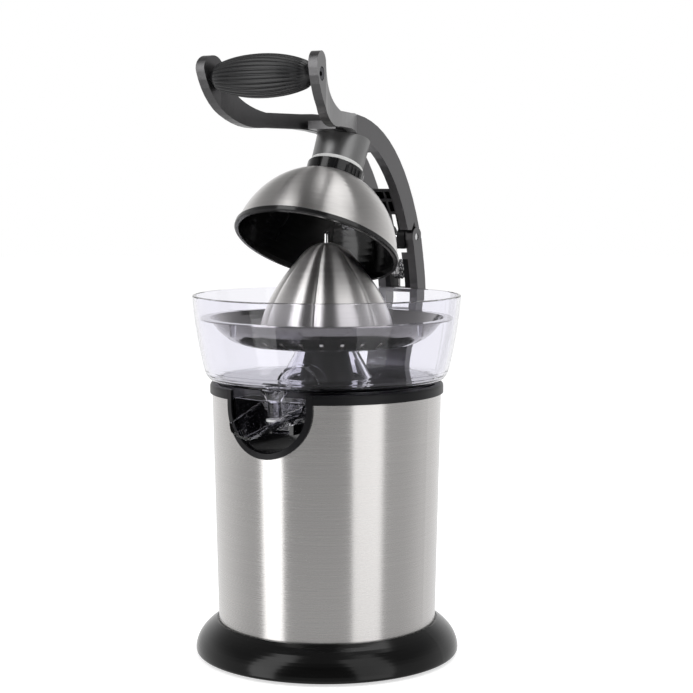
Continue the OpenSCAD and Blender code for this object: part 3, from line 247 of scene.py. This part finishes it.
class Shader:
    """A material or world whose nodes are added one by one."""

    def __init__(self, holder: bpy.types.Material | bpy.types.World) -> None:
        """Empties the node tree of a material or world.

        Args:
            holder: The material or world to work in.
        """
        self.holder = holder
        self.holder.use_nodes = True
        self.tree = self.holder.node_tree
        self.tree.nodes.clear()

    def add(self, kind: str, settings: dict[str, Any] | None = None,
            inputs: dict[int | str, Any] | None = None, output: int | str = 0) -> Signal:
        """Adds a node.

        Args:
            kind: The node's type.
            settings: Attributes of the node.
            inputs: Values or signals for the node's sockets.
            output: The socket to hand back.

        Returns:
            The chosen output.
        """
        node = self.tree.nodes.new(kind)
        for key, value in (settings or {}).items():
            setattr(node, key, value)
        for key, value in (inputs or {}).items():
            raw = value.value if isinstance(value, Signal) else value
            if isinstance(raw, bpy.types.NodeSocket):
                self.tree.links.new(raw, node.inputs[key])
            else:
                node.inputs[key].default_value = raw
        return Signal(self, node.outputs[output] if len(node.outputs) else None)

    def points(self, turn: Sequence[float] = (0, 0, 0), scale: Sequence[float] = (1, 1, 1)) -> Signal:
        """Object coordinates, turned and scaled by a Mapping node."""
        raw = self.add("ShaderNodeTexCoord", output="Object")
        return self.add("ShaderNodeMapping", {"vector_type": "POINT"},
                        {"Vector": raw, "Rotation": tuple(turn), "Scale": tuple(scale)})

    def noise(self, where: Signal, scale: float, detail: float = 2.0) -> Signal:
        """A noise texture's grey value."""
        return self.add("ShaderNodeTexNoise", inputs={"Vector": where, "Scale": scale, "Detail": detail})

    def blend(self, mask: Signal, tint: Colour, contrast: Span) -> Signal:
        """A tint that goes from darker to lighter by a mask.

        Args:
            mask: 0 for the darkest, 1 for the lightest.
            tint: The colour in the middle.
            contrast: What the tint is multiplied by where the mask is 0 and where it is 1.

        Returns:
            The colour.
        """
        low, high = (tuple(min(1.0, c * gain) for c in tint) for gain in contrast)
        return self.add("ShaderNodeMix", {"data_type": "RGBA"},
                        {FACTOR: mask, COLOUR_A: (*low, 1.0), COLOUR_B: (*high, 1.0)}, output=COLOUR_OUT)

    def remap(self, value: Signal, source: Span, target: Span = (0.0, 1.0)) -> Signal:
        """Eases a value from one span to another, held at both ends."""
        return self.add("ShaderNodeMapRange", {"interpolation_type": "SMOOTHSTEP"},
                        {"Value": value, "From Min": source[0], "From Max": source[1],
                         "To Min": target[0], "To Max": target[1]})

    def mixed(self, mask: Signal | float, low: Signal | float, high: Signal | float) -> Signal:
        """A number between two, by a mask."""
        return self.add("ShaderNodeMix", {"data_type": "FLOAT"},
                        {FACTOR: mask, NUMBER_A: low, NUMBER_B: high})

    def ray(self, kind: Ray) -> Signal:
        """Whether the ray is of a kind, from the Light Path node."""
        return self.add("ShaderNodeLightPath", output=kind.value)

    @staticmethod
    def uneven(middle: float, mask: Signal, spread: float) -> Signal:
        """A number that wavers about its middle with a mask."""
        return middle + (mask - 0.5) * spread

    def bump(self, height: Signal, strength: float, distance: float) -> Signal:
        """A Bump node on a height."""
        return self.add("ShaderNodeBump",
                        inputs={"Height": height, "Strength": strength, "Distance": distance})

    def surface(self, **sockets: Any) -> Signal:
        """A Principled shader with the named sockets, spaces written as underscores."""
        return self.add("ShaderNodeBsdfPrincipled",
                        inputs={key.replace("_", " "): value for key, value in sockets.items()})

    def finish(self, shader: Signal) -> bpy.types.Material:
        """Joins a shader to the output and returns the material."""
        self.add("ShaderNodeOutputMaterial", inputs={"Surface": shader})
        return self.holder


# ---------------------------------------------------------------- finishes

# In every finish, contrast is what the tint is multiplied by at its darkest and lightest, waver is how far
# the roughness spreads, relief is the strength of the bump and depth its depth in metres. Texture scales
# count repeats in a metre.

@dataclass(frozen=True)
class BrushedSteel:
    """Satin steel with fine lines from the brushing belt, which run round the piece's axis.

    The texture repeats fineness times across the lines and length times along them, over a broad cloud. The
    tilt is the axis's lean, in radians.
    """

    name: str
    tint: Colour = (0.60, 0.585, 0.575)
    rough: float = 0.27
    tilt: float = 0.0
    fineness: float = 900.0
    length: float = 24.0
    cloud: float = 9.0
    line_share: float = 0.75
    contrast: Span = (0.9, 1.08)
    waver: float = 0.12
    anisotropic: float = 0.9
    anisotropic_turn: float = 0.25
    relief: float = 0.12
    depth: float = 0.0002

    def make(self) -> bpy.types.Material:
        """Builds the material.

        Returns:
            The material.
        """
        s = Shader(bpy.data.materials.new(self.name))
        across = (self.length, self.length, self.fineness)
        lines = s.noise(s.points(turn=(self.tilt, 0, 0), scale=across), 1.0)
        grain = lines * self.line_share + s.noise(s.points(), self.cloud) * (1 - self.line_share)
        return s.finish(s.surface(
            Base_Color=s.blend(grain, self.tint, self.contrast), Metallic=1.0,
            Roughness=s.uneven(self.rough, grain, self.waver),
            Anisotropic=self.anisotropic, Anisotropic_Rotation=self.anisotropic_turn,
            Normal=s.bump(lines, self.relief, self.depth)))


@dataclass(frozen=True)
class CastMetal:
    """Die-cast metal with a dark satin lacquer: fine sand over a cloud."""

    name: str
    tint: Colour = (0.135, 0.133, 0.136)
    rough: float = 0.31
    metallic: float = 0.95
    sheen: float = 0.4
    sand: float = 1500.0
    cloud: float = 40.0
    cloud_share: float = 0.6
    contrast: Span = (0.86, 1.14)
    waver: float = 0.12
    relief: float = 0.16
    depth: float = 0.0003

    def make(self) -> bpy.types.Material:
        """Builds the material.

        Returns:
            The material.
        """
        s = Shader(bpy.data.materials.new(self.name))
        where = s.points()
        sand = s.noise(where, self.sand)
        cloud = s.noise(where, self.cloud, detail=3.0)
        mask = cloud * self.cloud_share + sand * (1 - self.cloud_share)
        return s.finish(s.surface(
            Base_Color=s.blend(mask, self.tint, self.contrast), Metallic=self.metallic,
            Roughness=s.uneven(self.rough, cloud, self.waver), Specular_IOR_Level=self.sheen,
            Normal=s.bump(sand, self.relief, self.depth)))


@dataclass(frozen=True)
class Plastic:
    """Moulded plastic, from gloss to satin, with a fine spark-eroded grain.

    The sheen is how strongly it reflects, with 0.5 for common plastic.
    """

    name: str
    tint: Colour = (0.008, 0.008, 0.009)
    rough: float = 0.36
    sheen: float = 0.3
    fineness: float = 1400.0
    cloud: float = 30.0
    contrast: Span = (0.85, 1.15)
    waver: float = 0.06
    relief: float = 0.12
    depth: float = 0.0002

    def make(self) -> bpy.types.Material:
        """Builds the material.

        Returns:
            The material.
        """
        s = Shader(bpy.data.materials.new(self.name))
        where = s.points()
        grain = s.noise(where, self.fineness)
        cloud = s.noise(where, self.cloud)
        return s.finish(s.surface(
            Base_Color=s.blend(cloud, self.tint, self.contrast), Specular_IOR_Level=self.sheen,
            Roughness=s.uneven(self.rough, cloud, self.waver),
            Normal=s.bump(grain, self.relief, self.depth)))


@dataclass(frozen=True)
class ClearPlastic:
    """Clear polycarbonate with a trace of violet, whose shadow stays light, of the colour called shade."""

    name: str
    tint: Colour = (0.935, 0.93, 0.975)
    shade: Colour = (0.93, 0.92, 0.96)
    rough: float = 0.015
    ior: float = 1.3
    sheen: float = 0.2
    cloud: float = 26.0
    contrast: Span = (1.0, 1.01)

    def make(self) -> bpy.types.Material:
        """Builds the material.

        Returns:
            The material.
        """
        s = Shader(bpy.data.materials.new(self.name))
        colour = s.blend(s.noise(s.points(), self.cloud), self.tint, self.contrast)
        solid = s.surface(Base_Color=colour, Transmission_Weight=1.0, IOR=self.ior, Roughness=self.rough,
                          Specular_IOR_Level=self.sheen)
        clear = s.add("ShaderNodeBsdfTransparent", inputs={"Color": (*self.shade, 1.0)})
        return s.finish(s.add("ShaderNodeMixShader", inputs={0: s.ray(Ray.SHADOW), 1: solid, 2: clear}))


@dataclass(frozen=True)
class BrightMetal:
    """Polished or machined metal for pins, screws, springs and windings, with fine marks across its axis."""

    name: str
    tint: Colour = (0.72, 0.72, 0.73)
    rough: float = 0.15
    marks: float = 420.0
    flat: float = 3.0
    contrast: Span = (0.9, 1.06)
    waver: float = 0.08
    relief: float = 0.05
    depth: float = 0.0001

    def make(self) -> bpy.types.Material:
        """Builds the material.

        Returns:
            The material.
        """
        s = Shader(bpy.data.materials.new(self.name))
        marks = s.noise(s.points(scale=(1, 1, self.flat)), self.marks)
        return s.finish(s.surface(
            Base_Color=s.blend(marks, self.tint, self.contrast), Metallic=1.0,
            Roughness=s.uneven(self.rough, marks, self.waver),
            Normal=s.bump(marks, self.relief, self.depth)))


@dataclass
class Finishes:
    """Every finish of the press, made once. The dome's tilt is in radians."""

    dome_tilt: float
    table: dict[str, bpy.types.Material] = field(default_factory=dict)

    def __post_init__(self) -> None:
        """Makes the materials."""
        recipes = [
            BrushedSteel("body_steel"),
            BrushedSteel("dome_steel", tilt=self.dome_tilt, rough=0.33, fineness=700.0, anisotropic=0.96),
            # The cone's tint, lighter than the body's steel, is painted light: it brightens the cone's steel
            # to match its bright reflections.
            BrushedSteel("cone_steel_painted_light", rough=0.36, fineness=600.0, anisotropic=0.97, tint=(0.82, 0.8, 0.79)),
            # The strainer's tint, far darker than the body's steel, is painted shade and painted reflection:
            # it stands in for the dark surroundings its underside reflects.
            BrushedSteel("strainer_steel_painted_shade", rough=0.11, fineness=300.0, anisotropic=0.2,
                         tint=(0.32, 0.31, 0.315)),
            CastMetal("arm_metal"),
            # The bridge's tint, darker than the arm's, is painted shade: the crosspiece over the hub lies in
            # shadow.
            CastMetal("bridge_metal_painted_shade", tint=(0.085, 0.085, 0.087)),
            CastMetal("hub_metal", tint=(0.26, 0.26, 0.26), rough=0.4, metallic=1.0),
            Plastic("gloss_black", tint=(0.003, 0.003, 0.003), rough=0.16, relief=0.02),
            Plastic("satin_black", tint=(0.005, 0.005, 0.006), sheen=0.22),
            Plastic("deck_black", tint=(0.002, 0.002, 0.0025), rough=0.5, sheen=0.12),
            Plastic("liner_black", tint=(0.006, 0.006, 0.0065), rough=0.13, relief=0.05, sheen=0.5),
            Plastic("grip_black", rough=0.33, relief=0.1, sheen=0.5),
            Plastic("foot_rubber", tint=(0.02, 0.02, 0.02), rough=0.6, relief=0.25),
            Plastic("seal_white", tint=(0.78, 0.78, 0.77), rough=0.4, relief=0.05),
            Plastic("gear_resin", tint=(0.72, 0.7, 0.62), rough=0.38, relief=0.05),
            Plastic("board_green", tint=(0.03, 0.17, 0.07), rough=0.3, relief=0.05),
            ClearPlastic("clear_bowl"),
            BrightMetal("bright_steel"),
            BrightMetal("dark_screw", tint=(0.09, 0.09, 0.1), rough=0.26),
            BrightMetal("bronze", tint=(0.62, 0.4, 0.2), rough=0.31),
            BrightMetal("copper", tint=(0.72, 0.32, 0.16), rough=0.31),
            BrightMetal("laminations", tint=(0.3, 0.3, 0.31), rough=0.41),
        ]
        for recipe in recipes:
            self.table[recipe.name] = recipe.make()

    def dress(self, piece: bpy.types.Object, name: str) -> bpy.types.Object:
        """Gives a piece one finish.

        Args:
            piece: The object to dress.
            name: Name of the finish.

        Returns:
            The same object.
        """
        piece.data.materials.clear()
        piece.data.materials.append(self.table[name])
        return piece


# ---------------------------------------------------------------- sub-assemblies

@dataclass
class ReamerCone:
    """The fluted steel cone that the fruit turns on.

    Lengths are in millimetres. The points of its outline are shares of its radius and height.
    """

    radius: float = 44.6
    height: float = 63.1
    sheet: float = 1.0
    lean: float = 1.6
    foot_pull: float = 0.36
    waist_pull: Point = (0.67, 0.63)
    shoulder: Point = (0.426, 0.832)
    shoulder_pull: Point = (0.27, 0.98)
    tip_radius: float = 0.1
    lobes: int = 6
    steps_per_lobe: int = 48
    groove: float = 3.0
    groove_at_tip: float = 0.35
    crease: float = 2.2
    smooth_tip: float = 12.0
    first_groove: float = -71.0

    def at(self, share: Point) -> Point:
        """A point of the outline, from its shares of the radius and height."""
        return share[0] * self.radius, share[1] * self.height

    def profile(self) -> list[Point]:
        """The lobes' outline, from the foot to the tip.

        Returns:
            Points as (radius, height).
        """
        foot = cubic((self.radius, 0), (self.radius - self.lean, self.foot_pull * self.height),
                     self.at(self.waist_pull), self.at(self.shoulder), 22)
        tip = quadratic(self.at(self.shoulder), self.at(self.shoulder_pull),
                        self.at((self.tip_radius, 1.0)), 10)
        return foot + tip[1:]

    def flute(self, co: Vector) -> Vector:
        """Pulls a point of the round cone in towards the nearest groove.

        Args:
            co: The point, in millimetres.

        Returns:
            Its new place.
        """
        radius = math.hypot(co.x, co.y)
        if radius < 1e-6:
            return co
        part = (math.degrees(math.atan2(co.y, co.x)) - self.first_groove) / (360 / self.lobes) % 1.0
        deep = self.groove_at_tip + (1 - self.groove_at_tip) * radius / self.radius
        depth = (1 - math.sin(math.pi * part)) ** self.crease
        depth *= self.groove * deep * min(1.0, radius / self.smooth_tip)
        share = (radius - depth) / radius
        return Vector((co.x * share, co.y * share, co.z))

    def build(self, finishes: Finishes) -> None:
        """Makes the cone's pressed sheet and dresses it.

        Args:
            finishes: The finishes made for the press.
        """
        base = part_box("reamer_cone")[0].z / MM
        skin = Shaper("cone_sheet").lathe(self.profile(), self.lobes * self.steps_per_lobe)
        skin.push(self.flute).wall(self.sheet).place(Matrix.Translation((0, 0, base)))
        piece = skin.done("spindle", "brushed_steel", sharp=40)
        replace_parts(finishes.dress(piece, "cone_steel_painted_light"), "reamer_cone")


@dataclass
class Grip:
    """The fluted barrel between the arm's prongs.

    Lengths are in millimetres. Its rounded ends are given as pairs of inset from the end's radius and
    distance from the end.
    """

    end_radius: float = 8.6
    nose: tuple[Point, ...] = ((4.6, 0.0), (4.0, 1.6), (2.4, 3.2), (1.0, 4.6), (0.0, 6.0))
    swell_pull: float = 0.32
    clearance: float = 0.05
    flutes: int = 26
    steps_per_flute: int = 10
    depth: float = 0.75
    plain_nose: float = 1.2
    plain_end: float = 3.0
    fade: float = 9.0

    def profile(self, length: float, middle: float) -> list[Point]:
        """The barrel's outline.

        Args:
            length: From end to end.
            middle: Radius at the middle.

        Returns:
            Points as (radius, place along the axis).
        """
        *nose, start = [(self.end_radius - inset, along) for inset, along in self.nose]
        control = (4 * middle - self.end_radius) / 3
        side = cubic(start, (control, self.swell_pull * length), (control, (1 - self.swell_pull) * length),
                     (start[0], length - start[1]), 40)
        nose.insert(0, (0.0, 0.0))
        return nose + side + [(r, length - z) for r, z in reversed(nose)]

    def flute(self, co: Vector, length: float) -> Vector:
        """Sinks a lengthwise groove that fades towards the ends.

        Args:
            co: The point, in millimetres.
            length: The barrel's length.

        Returns:
            Its new place.
        """
        radius = math.hypot(co.x, co.y)
        if radius < self.end_radius - self.plain_nose:
            return co
        wave = (0.5 - 0.5 * math.cos(self.flutes * math.atan2(co.y, co.x))) ** 2
        along = min(1.0, max(0.0, min(co.z, length - co.z) - self.plain_end) / self.fade)
        share = 1 - self.depth * wave * along / radius
        return Vector((co.x * share, co.y * share, co.z))

    def build(self, finishes: Finishes) -> None:
        """Makes the grip and its flutes, and dresses it.

        Args:
            finishes: The finishes made for the press.
        """
        low, high = (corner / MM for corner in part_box("grip"))
        length = high.x - low.x
        middle = (high.z - low.z) / 2 - self.clearance
        barrel = Shaper("grip_barrel").lathe(self.profile(length, middle), self.flutes * self.steps_per_flute)
        barrel.push(lambda co: self.flute(co, length))
        barrel.place(Matrix.Translation((low.x, (low.y + high.y) / 2, (low.z + high.z) / 2))
                     @ Matrix.Rotation(math.pi / 2, 4, "Y"))
        piece = barrel.done("arm", "black_rubber", sharp=50)
        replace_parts(finishes.dress(piece, "grip_black"), "grip")


# ---------------------------------------------------------------- studio

def around(azimuth: float, distance: float, height: float) -> Vector:
    """A place round the press's axis.

    Args:
        azimuth: Angle from the press's front, in degrees.
        distance: Distance from the axis, in metres.
        height: Height above the floor, in metres.

    Returns:
        The place.
    """
    turn = math.radians(azimuth)
    return Vector((distance * math.sin(turn), -distance * math.cos(turn), height))


@dataclass(frozen=True)
class Camera:
    """The camera. Angles are in degrees, its place in metres, its lens and sensor in millimetres."""

    azimuth: float = 31.0
    distance: float = 1.1
    height: float = 0.3079
    pitch: float = 5.543
    yaw: float = -0.667
    lens: float = 88.33
    sensor: float = 36.0
    nearest: float = 0.05

    def build(self) -> None:
        """Places the camera and makes it the scene's own."""
        data = bpy.data.cameras.new("camera")
        data.lens, data.sensor_width, data.clip_start = self.lens, self.sensor, self.nearest
        seat = bpy.data.objects.new("camera", data)
        seat.location = around(self.azimuth, self.distance, self.height)
        seat.rotation_euler = tuple(map(math.radians, (90 - self.pitch, 0, self.azimuth + self.yaw)))
        bpy.context.scene.collection.objects.link(seat)
        bpy.context.scene.camera = seat


@dataclass(frozen=True)
class SoftBox:
    """A soft lamp that faces the press. Its azimuth is in degrees, lengths in metres, power in watts."""

    name: str
    azimuth: float
    height: float
    distance: float
    size: Point
    power: float
    aim: float = 0.2

    def build(self) -> None:
        """Places the lamp."""
        data = bpy.data.lights.new(self.name, "AREA")
        data.shape, data.size, data.size_y, data.energy = "RECTANGLE", *self.size, self.power
        seat = bpy.data.objects.new(self.name, data)
        seat.location = around(self.azimuth, self.distance, self.height)
        towards = Vector((0, 0, self.aim)) - Vector(seat.location)
        seat.rotation_euler = towards.to_track_quat("-Z", "Y").to_euler()
        bpy.context.scene.collection.objects.link(seat)


@dataclass(frozen=True)
class Room:
    """A room, dark in front and pale behind, that the camera and clear plastic see as white.

    Directions count from -1, straight behind or below, to 1, straight in front or above. Each pair of lights
    belongs to the two ends of the span of directions beside it.
    """

    front: float = 31.0
    turns_dark: Span = (0.45, 0.85)
    dark_rise: Span = (-0.5, 0.06)
    dark_light: Span = (0.8, 0.1)
    pale_side: Span = (-1.0, 0.2)
    pale_light: Span = (0.95, 0.55)
    ceiling: Span = (0.15, 0.6)
    ceiling_light: Span = (1.0, 0.4)
    backdrop_edge: Span = (-0.95, -0.6)
    plain_light: float = 0.5

    def build(self) -> None:
        """Makes the world."""
        s = Shader(bpy.data.worlds.new("room"))
        bpy.context.scene.world = s.holder
        where = s.add("ShaderNodeTexCoord", output="Object")
        facing = s.add("ShaderNodeVectorMath", {"operation": "DOT_PRODUCT"},
                       {0: where, 1: around(self.front, 1.0, 0.0)}, output=1)
        height = s.add("ShaderNodeSeparateXYZ", inputs={0: where}, output=2)
        dark_end = s.remap(height, self.dark_rise, self.dark_light)
        pale_end = s.remap(facing, self.pale_side, self.pale_light)
        room = s.mixed(s.remap(facing, self.turns_dark), pale_end, dark_end)
        room = room * s.remap(height, self.ceiling, self.ceiling_light)
        lit = s.mixed(s.ray(Ray.GLOSSY), self.plain_light, room)
        behind_clear = s.mixed(s.remap(facing, self.backdrop_edge), 1.0, room)
        lit = s.mixed(s.ray(Ray.TRANSMISSION), lit, behind_clear)
        light = s.add("ShaderNodeBackground",
                      inputs={"Color": (1, 1, 1, 1), "Strength": s.mixed(s.ray(Ray.CAMERA), lit, 1.0)})
        s.add("ShaderNodeOutputWorld", inputs={"Surface": light})


@dataclass(frozen=True)
class Floor:
    """A wide white floor that keeps the press's soft shadow and stays out of its reflections."""

    radius: float = 6.0
    sides: int = 64
    drop: float = 0.0002
    cloud: float = 3.0
    tones: Span = (0.86, 0.88)
    rough: float = 0.9
    glow: float = 0.62

    def paper(self) -> bpy.types.Material:
        """White paper that glows a little where the camera sees it, also through clear plastic.

        Returns:
            The material.
        """
        s = Shader(bpy.data.materials.new("floor_paper"))
        colour = s.blend(s.noise(s.points(), self.cloud, detail=3.0), (1.0, 1.0, 1.0), self.tones)
        paper = s.surface(Base_Color=colour, Roughness=self.rough)
        glow = s.add("ShaderNodeEmission", inputs={"Color": (1, 1, 1, 1), "Strength": self.glow})
        bright = s.add("ShaderNodeAddShader", inputs={0: paper, 1: glow})
        clear = s.add("ShaderNodeBsdfTransparent", inputs={"Color": (1, 1, 1, 1)})
        seen = s.add("ShaderNodeMixShader",
                     inputs={0: s.ray(Ray.CAMERA) + s.ray(Ray.TRANSMISSION), 1: paper, 2: bright})
        return s.finish(s.add("ShaderNodeMixShader", inputs={0: s.ray(Ray.GLOSSY), 1: seen, 2: clear}))

    def build(self) -> None:
        """Makes the floor."""
        bm = bmesh.new()
        bmesh.ops.create_circle(bm, cap_ends=True, radius=self.radius, segments=self.sides)
        mesh = bpy.data.meshes.new("floor")
        bm.to_mesh(mesh)
        bm.free()
        plane = bpy.data.objects.new("floor", mesh)
        plane.location.z = -self.drop
        bpy.context.scene.collection.objects.link(plane)
        mesh.materials.append(self.paper())


@dataclass(frozen=True)
class Studio:
    """Everything round the press."""

    camera: Camera = Camera()
    room: Room = Room()
    floor: Floor = Floor()
    lamps: tuple[SoftBox, ...] = (
        SoftBox("left_box", azimuth=-25.0, height=0.6, distance=1.25, size=(0.6, 2.6), power=11.0),
        SoftBox("right_box", azimuth=72.0, height=0.6, distance=1.25, size=(0.85, 2.6), power=8.0),
        SoftBox("top_box", azimuth=150.0, height=1.6, distance=0.5, size=(0.8, 0.8), power=4.0))

    def build(self) -> None:
        """Builds the camera, room, floor and lamps."""
        bpy.context.scene.view_settings.view_transform = "Standard"
        for thing in (self.camera, self.room, self.floor, *self.lamps):
            thing.build()


# ---------------------------------------------------------------- assembly

# How far the dome's axis leans back at rest, in degrees.
DOME_TILT = 27.0

NODE_FINISH: dict[str, str] = {
    "base_disc": "gloss_black", "bottom_cover": "satin_black", "foot_ring": "foot_rubber",
    "bottom_screws": "bright_steel", "tie_rods": "bright_steel", "steel_sleeve": "body_steel",
    "top_collar": "satin_black", "recess_trim": "satin_black", "recess_liner": "liner_black",
    "top_deck": "deck_black", "gear_case": "satin_black", "gear_case_lid": "satin_black",
    "case_screws": "bright_steel", "layshaft_axle": "bright_steel", "shaft_bushes": "bronze",
    "shaft_seal": "foot_rubber", "motor_can": "laminations", "motor_end_bell": "satin_black",
    "motor_bushes": "bronze", "stator_core": "laminations", "stator_coils": "copper",
    "control_board": "board_green", "micro_switch": "satin_black", "cord_gland": "foot_rubber",
    "juice_bowl": "clear_bowl", "bowl_tower": "clear_bowl", "strainer": "strainer_steel_painted_shade",
    "rear_bracket": "arm_metal", "bracket_screws": "bright_steel",
    "hinge_pin": "bright_steel", "spring_pin": "bright_steel",
    "lift_spring": "bright_steel", "spring_guard": "satin_black", "spout_pin": "satin_black",
    "press_spring": "bright_steel", "press_rocker": "gear_resin", "drive_shaft": "bright_steel",
    "output_gear": "gear_resin", "drive_pin": "bright_steel", "cone_core": "satin_black",
    "reamer_cone": "cone_steel_painted_light", "tip_pin": "bright_steel", "layshaft_gear": "gear_resin",
    "rotor_core": "laminations", "rotor_shaft": "bright_steel", "cooling_fan": "satin_black",
    "arm_frame": "arm_metal", "arm_bridge": "bridge_metal_painted_shade", "hinge_knuckle": "satin_black",
    "dome_hub": "hub_metal", "seal_ring": "seal_white", "grip": "grip_black", "grip_rod": "bright_steel",
    "grip_screws": "dark_screw", "dome_shell": "dome_steel", "dome_liner": "liner_black",
    "neck_ring": "liner_black", "spout_chute": "clear_bowl", "drip_pad": "seal_white",
}


def dress_nodes(frame: dict[str, Any], finishes: Finishes) -> None:
    """Gives every carried-over node its finish.

    Args:
        finishes: The finishes made for the press.
    """
    for name, node in frame["nodes"].items():
        finishes.dress(node, NODE_FINISH[name])
        LOG.info("dressed %s in %s", name, NODE_FINISH[name])


def main() -> None:
    """Builds and dresses the press, then the studio."""
    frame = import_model()
    finishes = Finishes(dome_tilt=math.radians(DOME_TILT))
    dress_nodes(frame, finishes)
    for part in (ReamerCone(), Grip()):
        part.build(finishes)
    Studio().build()


if __name__ == "__main__":
    logging.basicConfig(level=logging.INFO)
    main()
